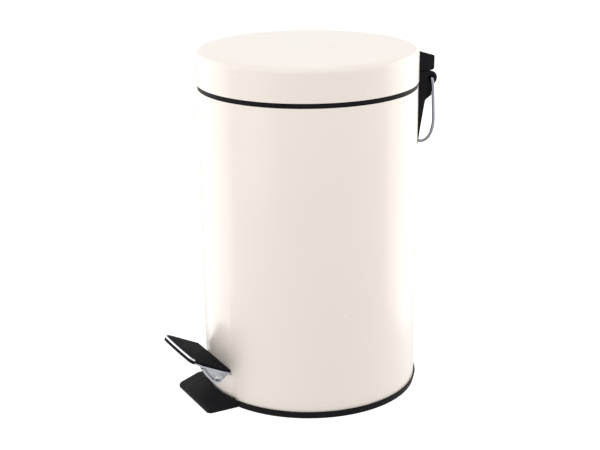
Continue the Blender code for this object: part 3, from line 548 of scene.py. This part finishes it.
def body_shell():
    """The enamelled tube with its pedal slot, arm notch and screw holes."""
    inner = BODY_RADIUS - SHEET
    profile = fillet([(inner, BODY_TOP), (BODY_RADIUS, BODY_TOP), (BODY_RADIUS, BODY_BOTTOM),
                      (inner, BODY_BOTTOM)], 0.3 * MM, steps=3)
    tube = turned("body_shell", profile)
    opening = fillet([(-SLOT_HALF_WIDTH, SLOT_BOTTOM), (SLOT_HALF_WIDTH, SLOT_BOTTOM),
                      (SLOT_HALF_WIDTH, SLOT_TOP), (-SLOT_HALF_WIDTH, SLOT_TOP)], SLOT_CORNER)
    slot = slab("slot", opening, -100 * MM, -60 * MM, flat=True)
    slot.transform(SWAP_Y_AND_Z)
    notch = block("notch", (-ARM_SLOT, 70 * MM, ARM_NOTCH_BOTTOM), (ARM_SLOT, 100 * MM, 250 * MM),
                  1.5 * MM)
    holes = hole_pair(BODY_HOLE_RADIUS, SCREW_X, SCREW_Z)
    add("body_shell_fine", cut(tube, slot, notch, *holes), ENAMEL, "shell", ["body_shell"])


def top_ring():
    """The black ring on the body's edge: outer bead, wall and bucket seat."""
    skirt = BODY_RADIUS - SHEET - RING_SKIRT_GAP
    wall = skirt - RING_WALL
    under = BODY_TOP + GAP
    profile = fillet([
        (wall, RING_TOP), (RING_RADIUS, RING_TOP), (RING_RADIUS, under), (skirt, under),
        (skirt, SEAT_BOTTOM), (SEAT_INNER, SEAT_BOTTOM), (SEAT_INNER, SEAT_TOP), (wall, SEAT_TOP)],
        [0.8 * MM, 0.6 * MM, 0.5 * MM, 0, 0.6 * MM, 0.6 * MM, 0.6 * MM, 0.8 * MM], steps=4)
    ring = turned("top_ring", profile)
    notch = block("notch", (-ARM_SLOT, 70 * MM, 200 * MM), (ARM_SLOT, 100 * MM, 250 * MM))
    add("top_ring_fine", cut(ring, notch), PLASTIC, "shell", ["top_ring"])


def base_ring():
    """The black ring round the bottom, with the wedge-shaped foot in front."""
    rim = BODY_RADIUS + GAP
    lip = BODY_RADIUS - SHEET - GAP
    ring = turned("base_ring", fillet([
        (rim, BASE_TOP), (BASE_RADIUS, BASE_TOP), (BASE_FOOT_RADIUS, 0), (BASE_INNER, 0),
        (BASE_INNER, BASE_FLOOR), (lip - BASE_LIP_WALL, BASE_FLOOR),
        (lip - BASE_LIP_WALL, BASE_LIP_TOP), (lip, BASE_LIP_TOP), (lip, BASE_FLOOR),
        (rim, BASE_FLOOR)],
        [0.2 * MM, 0.4 * MM, 0.6 * MM, 0.5 * MM, 0, 0, 0.3 * MM, 0.3 * MM, 0, 0], steps=4))
    half, corner = FOOT_HALF_WIDTH, FOOT_CORNER
    root = rim + 0.1 * MM
    spread = math.degrees(math.asin(half / root))
    outline = arc((0, 0), root, 270 + spread, 270 - spread, 24)
    outline += arc((-half + corner, -FOOT_REACH + corner), corner, 180, 270, 10)
    outline += arc((half - corner, -FOOT_REACH + corner), corner, 270, 360, 10)
    foot = slab("foot", outline, 0.0, FOOT_TOP, flat=True)
    outer = FOOT_REACH + 1 * MM
    above = 20 * MM
    slope = slab("slope", [(-FOOT_INNER, FOOT_TOP + 0.01 * MM), (-outer, FOOT_LIP - 0.3 * MM),
                           (-outer, above), (-FOOT_INNER, above)], -40 * MM, 40 * MM)
    ledge = drum("ledge", FOOT_INNER, BASE_TOP + 0.05 * MM, above)
    foot = rounded(cut(foot, slope, ledge), 0.22 * MM, angle=30, segments=2)
    add("base_ring_fine", join(ring, foot), PLASTIC, "shell", ["base_ring"])


def hinge_housing():
    """The moulded housing on the back of the body, with its two knuckles."""
    flat_start = 180 - math.degrees(math.asin(KNUCKLE_RADIUS / LID_SWING))
    shoulder = arc(HINGE, LID_SWING, 172, flat_start, 6)
    side = ([(INSIDE_WALL, shoulder[0][1])] + shoulder + arc(HINGE, KNUCKLE_RADIUS, 90, -83, 24)
            + fillet([(96.7 * MM, 232 * MM), (96.7 * MM, 224.2 * MM), (91.1 * MM, 220.7 * MM),
                      (89.3 * MM, 211.4 * MM), (86.6 * MM, 196.8 * MM), (84.9 * MM, HOUSING_BOTTOM),
                      (INSIDE_WALL, HOUSING_BOTTOM)],
                     [0, 1.2 * MM, 2 * MM, 6 * MM, 6 * MM, 0.3 * MM, 0], steps=4))
    half = HOUSING_HALF_WIDTH
    housing = slab("hinge_housing", side, -half, half)
    wall = drum("wall", BODY_RADIUS + GAP, 100 * MM, 300 * MM)
    knuckle = block("knuckle", (-ARM_SLOT, 78 * MM, 231 * MM), (ARM_SLOT, 110 * MM, 250 * MM))
    arm = block("arm", (-ARM_SLOT, 78 * MM, ARM_NOTCH_BOTTOM), (ARM_SLOT, 95.3 * MM, 232 * MM))
    bore = rod("bore", "X", HINGE_BORE, -30 * MM, 30 * MM, HINGE)
    inner, outer = BORE_GROOVE
    grooves = []
    for s in (-1, 1):
        groove = turned(f"groove{s}", [(inner, BORE_GROOVE_DEPTH), (outer, BORE_GROOVE_DEPTH),
                                       (outer, -1 * MM), (inner, -1 * MM)], steps=48)
        groove.transform(Matrix.Translation((s * half, *HINGE)) @ ALONG["X"])
        grooves.append(groove)
    holes = hole_pair(HOLE_RADIUS, SCREW_X, SCREW_Z, BODY_RADIUS + 4.5 * MM)
    housing = cut(housing, wall, knuckle, arm, bore, *grooves, *holes)
    add("hinge_housing_fine", rounded(housing, 0.3 * MM, angle=50), PLASTIC, "shell",
        ["hinge_housing"], sharp=38)


# ---------------------------------------------------------------- lid

def lid_shell():
    """The enamelled lid: flat top, rounded edge, deep skirt."""
    inner = LID_RADIUS - SHEET
    profile = fillet([(0, LID_TOP), (LID_RADIUS, LID_TOP), (LID_RADIUS, LID_BOTTOM),
                      (inner, LID_BOTTOM), (inner, LID_TOP - SHEET), (0, LID_TOP - SHEET)],
                     [0, LID_CORNER, 0.35 * MM, 0.35 * MM, LID_CORNER - SHEET, 0], closed=False,
                     steps=12)
    lid = turned("lid_shell", profile, closed=False)
    holes = hole_pair(HOLE_RADIUS, RIVET_X, RIVET_Z)
    add("lid_shell_fine", cut(lid, *holes), ENAMEL, "lid", ["lid_shell"])


def lid_liner():
    """The black ring inside the lid's skirt."""
    outer = LID_RADIUS - SHEET - GAP
    wall, flange = outer - LINER_WALL, outer - LINER_FLANGE
    bottom, top = LINER_LOW[2], LINER_HIGH[2]
    profile = fillet([(wall, top), (outer, top), (outer, bottom), (flange, bottom),
                      (flange, bottom + LINER_LIP), (wall, bottom + LINER_LIP)], 0.35 * MM, steps=3)
    half = LINER_GAP_HALF_WIDTH
    gap = block("gap", (-half, 50 * MM, 230 * MM), (half, 100 * MM, 270 * MM))
    add("lid_liner_fine", cut(turned("lid_liner", profile), gap), PLASTIC, "lid", ["lid_liner"])


def lid_hinge_cap():
    """The moulded block on the lid's back edge, hollow underneath."""
    side = fillet([(INSIDE_WALL, CAP_BOTTOM), (INSIDE_WALL, 260.6 * MM), (84.6 * MM, 259.5 * MM),
                   (CAP_BACK, 255.35 * MM), (CAP_BACK, CAP_BOTTOM + 1.3 * MM), (97.4 * MM, CAP_BOTTOM)],
                  [0, 0, 0, 1.4 * MM, 0.6 * MM, 0.6 * MM], steps=6)
    half = HOUSING_HALF_WIDTH
    cap = slab("lid_hinge_cap", side, -half, half)
    wall = drum("wall", LID_RADIUS + GAP, 200 * MM, 300 * MM)
    hollow = block("hollow", (-half + 2 * MM, 86.2 * MM, 240 * MM),
                   (half - 2 * MM, 96.8 * MM, 253 * MM))
    cap = cut(cap, wall, hollow, *hole_pair(HOLE_RADIUS, RIVET_X, RIVET_Z, 90 * MM))
    add("lid_hinge_cap_fine", rounded(cap, 0.5 * MM, angle=50), PLASTIC, "lid", ["lid_hinge_cap"],
        sharp=38)


# ---------------------------------------------------------------- pedal

def on_pedal(along, above):
    """A (y, z) point outwards along the tread's slope, and above its surface."""
    reach = TREAD_EDGE[0] + along * math.cos(PEDAL_SLOPE) - above * math.sin(PEDAL_SLOPE)
    height = TREAD_EDGE[1] + along * math.sin(PEDAL_SLOPE) + above * math.cos(PEDAL_SLOPE)
    return (-reach, height)


PEDAL_PLACE = (Matrix.Translation((0, -TREAD_EDGE[0], TREAD_EDGE[1]))
               @ Matrix.Rotation(math.pi, 4, 'Z') @ Matrix.Rotation(PEDAL_SLOPE, 4, 'X'))


def sheet_strip(path, thickness):
    """The outline of a sheet of even thickness that follows a path."""
    left, right = [], []
    for i, point in enumerate(path):
        along = Vector(path[min(i + 1, len(path) - 1)]) - Vector(path[max(i - 1, 0)])
        along.normalize()
        normal = Vector((-along.y, along.x)) * thickness / 2
        left.append(tuple(Vector(point) + normal))
        right.append(tuple(Vector(point) - normal))
    return left + right[::-1]


def tread_edge(inset, start=45):
    """The tread's bowed outer edge with part of its round corners, set in from its outline."""
    radius = TREAD_CORNER - inset
    bow = [(CORNER_X * k / 12, TREAD_LENGTH - inset - TREAD_BOW * (k / 12) ** 2)
           for k in range(11, -12, -1)]
    return (arc((CORNER_X, CORNER_Y), radius, start, 87, 12) + bow
            + arc((-CORNER_X, CORNER_Y), radius, 93, 180 - start, 12))


def edge_band(name, outer, inner, low, high, start=45):
    """A strip that follows the tread's outer edge between two insets."""
    return slab(name, tread_edge(outer, start) + tread_edge(inner, start)[::-1], low, high, flat=True)


def add_pips(bm):
    """Rows of low round pips over the tread, each row half a pitch along from the last."""
    for i in range(PIP_ROWS):
        for k in range(PIP_COLUMNS):
            x = (k - (PIP_COLUMNS - 1) / 2 + (0.25 if i % 2 else -0.25)) * PIP_PITCH
            y = PIP_MARGIN + i * PIP_PITCH
            past_corner = math.hypot(max(0, abs(x) - CORNER_X), max(0, y - CORNER_Y))
            if past_corner > TREAD_CORNER - PIP_MARGIN:
                continue
            place = Matrix.Translation((x, y, -PIP_SINK)) @ Matrix.Diagonal((1, 1, PIP_FLATNESS, 1))
            bmesh.ops.create_uvsphere(bm, u_segments=10, v_segments=6, radius=PIP_RADIUS, matrix=place)


def pedal_tread():
    """The rubber pad with its pips, a lip below and a step for the trim."""
    w = TREAD_HALF_WIDTH
    pad = slab("pedal_tread", [(-w, 0), (w, 0)] + tread_edge(0, start=0), -TREAD_THICKNESS, 0,
               flat=True)
    lip = edge_band("lip", 0.01 * MM, TREAD_LIP_WALL, -TREAD_LIP, -1 * MM)
    step = edge_band("step", -1 * MM, TRIM_WIDTH + GAP, -TRIM_WIDTH - GAP, 1 * MM, start=42)
    pad = rounded(cut(join(pad, lip), step), 0.25 * MM, angle=40)
    bm = bmesh.new()
    bm.from_mesh(pad)
    add_pips(bm)
    mesh = bpy.data.meshes.new("pedal_tread_fine")
    bm.to_mesh(mesh)
    bm.free()
    mesh.transform(PEDAL_PLACE)
    add("pedal_tread_fine", mesh, RUBBER, "pedal", ["pedal_tread"])


def tread_trim():
    """The bright strip along the tread's outer edge."""
    trim = rounded(edge_band("tread_trim", 0, TRIM_WIDTH, -TRIM_WIDTH, -0.02 * MM), 0.25 * MM)
    trim.transform(PEDAL_PLACE)
    add("tread_trim_fine", trim, BRIGHT, "pedal", ["tread_trim"])


def shifted_edge(first, last, shift):
    """Part of the lever's lower edge, moved by a number of millimetres and rounded."""
    points = [((a + shift[0]) * MM, (b + shift[1]) * MM) for a, b in LEVER_EDGE[first:last]]
    return fillet(points, 2.5 * MM, closed=False, steps=4)


def on_both_flanges(name, outline, low, high):
    """The same slab on the left and on the right, from low to high out from the middle."""
    return [slab(f"{name}{s}", outline, *sorted((s * low, s * high))) for s in (-1, 1)]


def lever_tray(middle):
    """The sheet under the tread; middle is the height of the sheet's middle on the slope."""
    w = TRAY_HALF_WIDTH
    outline = [(-w, CORNER_Y), (-w, TRAY_START), (w, TRAY_START), (w, CORNER_Y)]
    tray = slab("tray", outline + tread_edge(TRAY_INSET, start=20), middle - LEVER_SHEET / 2,
                middle + LEVER_SHEET / 2, flat=True)
    tray.transform(PEDAL_PLACE)
    return tray


def lever_tail():
    """The long strip to the lift rod, and the two ribs that stiffen it."""
    y, half = PEDAL_PIVOT[0], TAIL_HALF_WIDTH
    bend, foot, end = -22 * MM, TAIL_Z - 0.2 * MM, TAIL_END - 1 * MM
    tail = slab("tail", sheet_strip([(y - 8 * MM, 22.0 * MM), (y + 3 * MM, 21.7 * MM),
                                     (bend, TAIL_Z), (TAIL_END, TAIL_Z)], TAIL_SHEET), -half, half)
    rib = [(y - 4 * MM, 21.6 * MM), (bend, foot), (end, foot), (end, 17.2 * MM),
           (-18 * MM, 17.6 * MM), (y + 2 * MM, 23.6 * MM)]
    inset = 0.02 * MM
    return [tail] + [slab("rib", rib, low, low + TAIL_RIB)
                     for low in (-half + inset, half - TAIL_RIB - inset)]


def pedal_lever():
    """The folded steel lever: tray, two flanges with turned-out edges, web and ribbed tail."""
    y = PEDAL_PIVOT[0]
    middle = -TREAD_THICKNESS - GAP - LEVER_SHEET / 2
    inner = LEVER_HALF_WIDTH - LEVER_SHEET
    upper = [on_pedal(25 * MM, middle), on_pedal(1 * MM, middle), (-76 * MM, 25.6 * MM),
             (-58 * MM, 23.0 * MM)]
    flange = (arc(PEDAL_PIVOT, LEVER_EYE, 90, -90, 14) + shifted_edge(0, len(LEVER_EDGE), (0, 0))
              + upper)
    left, lever = on_both_flanges("flange", flange, inner, LEVER_HALF_WIDTH)
    rims = on_both_flanges("rim", sheet_strip(shifted_edge(5, 10, (0.50, 0.66)), LEVER_SHEET),
                           inner + 0.3 * MM, LEVER_HALF_WIDTH + LEVER_RIM)
    web = slab("web", sheet_strip([on_pedal(6 * MM, middle), on_pedal(1 * MM, middle),
                                   (-76 * MM, 25.3 * MM), (-58 * MM, 22.3 * MM),
                                   (y + 1 * MM, 21.9 * MM)], WEB_SHEET),
               -inner - 0.6 * MM, inner + 0.6 * MM)
    lever = join(lever, left, lever_tray(middle), *rims, web, *lever_tail())
    bore = rod("bore", "X", LEVER_BORE, -40 * MM, 40 * MM, PEDAL_PIVOT)
    hole = rod("hole", "X", LEVER_HOLE_RADIUS, -40 * MM, 40 * MM, LEVER_HOLE)
    # The groove's dark line comes mostly from the painted shade in bright_steel.
    creases = on_both_flanges("crease", sheet_strip(shifted_edge(6, 10, (1.7, 1.5)), CREASE_WIDTH),
                              LEVER_HALF_WIDTH - 0.5 * MM, LEVER_HALF_WIDTH + 1 * MM)
    lever = rounded(cut(lever, bore, hole, *creases), 0.2 * MM, angle=50, segments=2)
    add("pedal_lever_fine", lever, BRIGHT, "pedal", ["pedal_lever"], sharp=40)


# ---------------------------------------------------------------- wires, rod and bucket

def smooth_path(points, steps=8):
    """A Catmull-Rom path through points."""
    path = []
    last = len(points) - 1
    for i in range(last):
        p0, p1 = Vector(points[max(i - 1, 0)]), Vector(points[i])
        p2, p3 = Vector(points[i + 1]), Vector(points[min(i + 2, last)])
        for k in range(steps):
            t = k / steps
            path.append(0.5 * ((2 * p1) + (p2 - p0) * t + (2 * p0 - 5 * p1 + 4 * p2 - p3) * t ** 2
                               + (3 * p1 - p0 - 3 * p2 + p3) * t ** 3))
    return path + [Vector(points[-1])]


def wire_y(z):
    """How far behind the body's axis the hanging ring is at a height."""
    return HINGE[0] + WIRE_OFFSET + WIRE_LEAN * (HINGE[1] - z)


def carry_ring():
    """The chrome wire ring that hangs on the hinge housing."""
    y, z = HINGE
    w = RING_WIRE_HIGH[0] - WIRE_RADIUS
    centre = RING_WIRE_LOW[2] + WIRE_RADIUS + w
    side = [(w - 4.6 * MM, y, z), (w - 1.6 * MM, y, z), (w - 0.5 * MM, y, z - 0.3 * MM),
            (w, y + 0.1 * MM, z - 1.6 * MM)]
    side += [(w, wire_y(h * MM), h * MM) for h in (233, 225, 217)]
    bow = []
    for i in range(25):
        a = math.pi * i / 24
        height = centre - w * math.sin(a)
        bow.append((w * math.cos(a), wire_y(height), height))
    mirrored = [(-a, b, c) for a, b, c in side[::-1]]
    add("carry_ring_fine", wire("carry_ring", smooth_path(side + bow + mirrored, 4), WIRE_RADIUS),
        CHROME, "ring", ["carry_ring"], sharp=60)


def lift_rod():
    """The wire rod up the back, with its top bent sideways into a hook."""
    top = ROD_HIGH[2] - ROD_RADIUS
    bend = ROD_BEND
    route = [(0, ROD_Y, ROD_LOW[2]), (0, ROD_Y, top - bend)]
    route += [(bend - bend * math.cos(a), ROD_Y, top - bend + bend * math.sin(a))
              for a in (math.radians(90 * i / 8) for i in range(1, 9))]
    route += [(ROD_HIGH[0], ROD_Y, top)]
    add("lift_rod_fine", wire("lift_rod", route, ROD_RADIUS), DRAWN_WIRE, "rod", ["lift_rod"],
        sharp=60)


def rod_shoe():
    """The nylon shoe on the rod's foot."""
    foot = SHOE_BOTTOM
    bore = ROD_RADIUS + GAP
    profile = fillet([(0, foot + 1.7 * MM), (bore, foot + 1.7 * MM), (bore, foot + 7.5 * MM),
                      (3.2 * MM, foot + 7.5 * MM), (3.2 * MM, foot + 2.2 * MM),
                      (2.7 * MM, foot + 0.9 * MM), (1.4 * MM, foot + 0.2 * MM), (0, foot)],
                     [0, 0, 0.3 * MM, 0.6 * MM, 1 * MM, 1 * MM, 1 * MM, 0], closed=False)
    shoe = turned("rod_shoe", profile, closed=False, steps=48)
    shoe.transform(Matrix.Translation((0, ROD_Y, 0)))
    add("rod_shoe_fine", shoe, NYLON, "rod", ["rod_shoe"])


def inner_bucket():
    """The tapered bucket with a rounded rim, a foot ring and bail holes."""
    floor_top = BUCKET_BOTTOM + BUCKET_WALL
    under = SEAT_TOP + GAP
    hollow = BUCKET_BOTTOM + BUCKET_FOOT_STEP
    profile = fillet([
        (0, floor_top), (BUCKET_FOOT_RADIUS - BUCKET_WALL, floor_top),
        (BUCKET_RADIUS - BUCKET_WALL, BUCKET_TOP), (BUCKET_RIM, BUCKET_TOP), (BUCKET_RIM, under),
        (BUCKET_RADIUS, under), (BUCKET_FOOT_RADIUS, BUCKET_BOTTOM),
        (BUCKET_FOOT_RADIUS - 5 * MM, BUCKET_BOTTOM), (BUCKET_FOOT_RADIUS - 6 * MM, hollow),
        (0, hollow)],
        [0, 4 * MM, 0.9 * MM, 0.7 * MM, 0.4 * MM, 0.8 * MM, 2.5 * MM, 0.3 * MM, 0.3 * MM, 0],
        closed=False, steps=6)
    bucket = turned("inner_bucket", profile, closed=False)
    notch = block("notch", (-8.5 * MM, 71.4 * MM, 200 * MM), (8.5 * MM, 100 * MM, 240 * MM))
    holes = [rod(f"hole{side}", "X", BAIL_HOLE, *sorted((side * 60 * MM, side * 80 * MM)),
                 (0, BAIL_Z)) for side in (-1, 1)]
    add("inner_bucket_fine", cut(bucket, notch, *holes), BUCKET, "bucket", ["inner_bucket"])


def bucket_bail():
    """The bucket's wire handle, folded down to the front inside its mouth."""
    r = BAIL_RADIUS
    end = [(72 * MM, 0, BAIL_Z), (69.6 * MM, 0, BAIL_Z), (67.2 * MM, 0, BAIL_Z)]
    bow = [(r * math.cos(a), -r * math.sin(a), BAIL_Z)
           for a in (math.pi * i / 40 for i in range(1, 40))]
    mirrored = [(-a, b, c) for a, b, c in end[::-1]]
    add("bucket_bail_fine", wire("bucket_bail", end + bow + mirrored, BAIL_WIRE_RADIUS), DRAWN_WIRE,
        "bail", ["bucket_bail"], sharp=60)


# ---------------------------------------------------------------- stage, lights and camera

def floor():
    """A white floor that glows like a light table and sends no light up at the bin."""
    mesh = bpy.data.meshes.new("floor")
    bm = bmesh.new()
    bmesh.ops.create_grid(bm, x_segments=1, y_segments=1, size=6.0)
    bm.to_mesh(mesh)
    bm.free()
    obj = bpy.data.objects.new("floor", mesh)
    obj.location.z = -0.2 * MM
    white = surface("light_table", (0.30, 0.30, 0.30), (0.6, 0.7), variation=0.004, patch=3.0,
                    grain=60.0, grain_depth=0.01, specular=0.0)
    shader = white.node_tree.nodes["Principled BSDF"]
    shader.inputs["Emission Color"].default_value = (1, 1, 1, 1)
    shader.inputs["Emission Strength"].default_value = 0.95
    mesh.materials.append(white)
    obj.visible_diffuse = False
    obj.visible_glossy = False
    obj.visible_shadow = False
    bpy.context.scene.collection.objects.link(obj)


AIM = Vector((0, 0, 0.13))

# Square lamps: name, place in metres, side in metres and power in watts
LAMPS = (
    ("lamp_left", (-1.30, -0.95, 0.20), 1.8, 17),
    ("lamp_right", (0.05, 1.60, 0.20), 1.8, 20),
    ("lamp_front", (0.25, -1.20, 0.25), 0.7, 1.2),
    ("lamp_fill", (1.00, -0.70, 0.80), 1.2, 2.5),
    ("lamp_top", (0.1, 0.0, 1.9), 1.4, 4),
)


def area_light(name, place, side, power):
    """A soft square lamp turned to the bin."""
    lamp = bpy.data.lights.new(name, 'AREA')
    lamp.shape = 'RECTANGLE'
    lamp.size, lamp.size_y = side, side
    lamp.energy = power
    obj = bpy.data.objects.new(name, lamp)
    obj.location = place
    obj.rotation_euler = (AIM - Vector(place)).to_track_quat('-Z', 'Y').to_euler()
    bpy.context.scene.collection.objects.link(obj)


def studio():
    """White surroundings, dimmer from below, and large soft lamps."""
    world = bpy.data.worlds.new("studio")
    world.use_nodes = True
    background = world.node_tree.nodes["Background"]
    background.inputs["Color"].default_value = (1, 1, 1, 1)
    nodes, links = world.node_tree.nodes, world.node_tree.links
    direction = nodes.new("ShaderNodeTexCoord")
    split = nodes.new("ShaderNodeSeparateXYZ")
    level = nodes.new("ShaderNodeMapRange")
    level.inputs["From Min"].default_value = -0.25
    level.inputs["From Max"].default_value = 0.05
    level.inputs["To Min"].default_value = 0.90
    level.inputs["To Max"].default_value = 1.0
    links.new(direction.outputs["Generated"], split.inputs["Vector"])
    links.new(split.outputs["Z"], level.inputs["Value"])
    links.new(level.outputs["Result"], background.inputs["Strength"])
    bpy.context.scene.world = world
    bpy.context.scene.view_settings.view_transform = 'Standard'
    for lamp in LAMPS:
        area_light(*lamp)


# The camera's place is in metres from the foot of the body's axis
CAMERA_PLACE = (0.8447, -0.4563, 0.4364)
CAMERA_HEADING = math.radians(62.03)
CAMERA_PITCH = math.radians(17.894)
CAMERA_ROLL = math.radians(-0.5985)
CAMERA_LENS = 77.025


def camera():
    """The camera, looking slightly down at the bin's right-hand side."""
    data = bpy.data.cameras.new("camera")
    data.lens = CAMERA_LENS
    data.sensor_width = 36.0
    data.clip_start = 0.05
    obj = bpy.data.objects.new("camera", data)
    heading, pitch, roll = CAMERA_HEADING, CAMERA_PITCH, CAMERA_ROLL
    forward = Vector((-math.sin(heading) * math.cos(pitch), math.cos(heading) * math.cos(pitch),
                      -math.sin(pitch)))
    right = forward.cross(Vector((0, 0, 1))).normalized()
    up = right.cross(forward)
    rolled_right = right * math.cos(roll) + up * math.sin(roll)
    rolled_up = up * math.cos(roll) - right * math.sin(roll)
    turn = Matrix((rolled_right, rolled_up, -forward)).transposed()
    x, y, z = CAMERA_PLACE
    obj.matrix_world = Matrix.Translation((x, AXIS_Y + y, z)) @ turn.to_4x4()
    bpy.context.scene.collection.objects.link(obj)
    bpy.context.scene.camera = obj


body_shell()
top_ring()
base_ring()
hinge_housing()
lid_shell()
lid_liner()
lid_hinge_cap()
pedal_tread()
tread_trim()
pedal_lever()
carry_ring()
lift_rod()
rod_shoe()
inner_bucket()
bucket_bail()
carry_over(["bottom_pan", "housing_screw_left", "housing_screw_right", "hinge_pin", "pivot_bracket",
            "bracket_rivet_left", "bracket_rivet_right", "pivot_pin", "pivot_clip", "lid_bracket",
            "lid_rivet_left", "lid_rivet_right"], ZINC)
carry_over(["rod_guide"], NYLON)
floor()
studio()
camera()
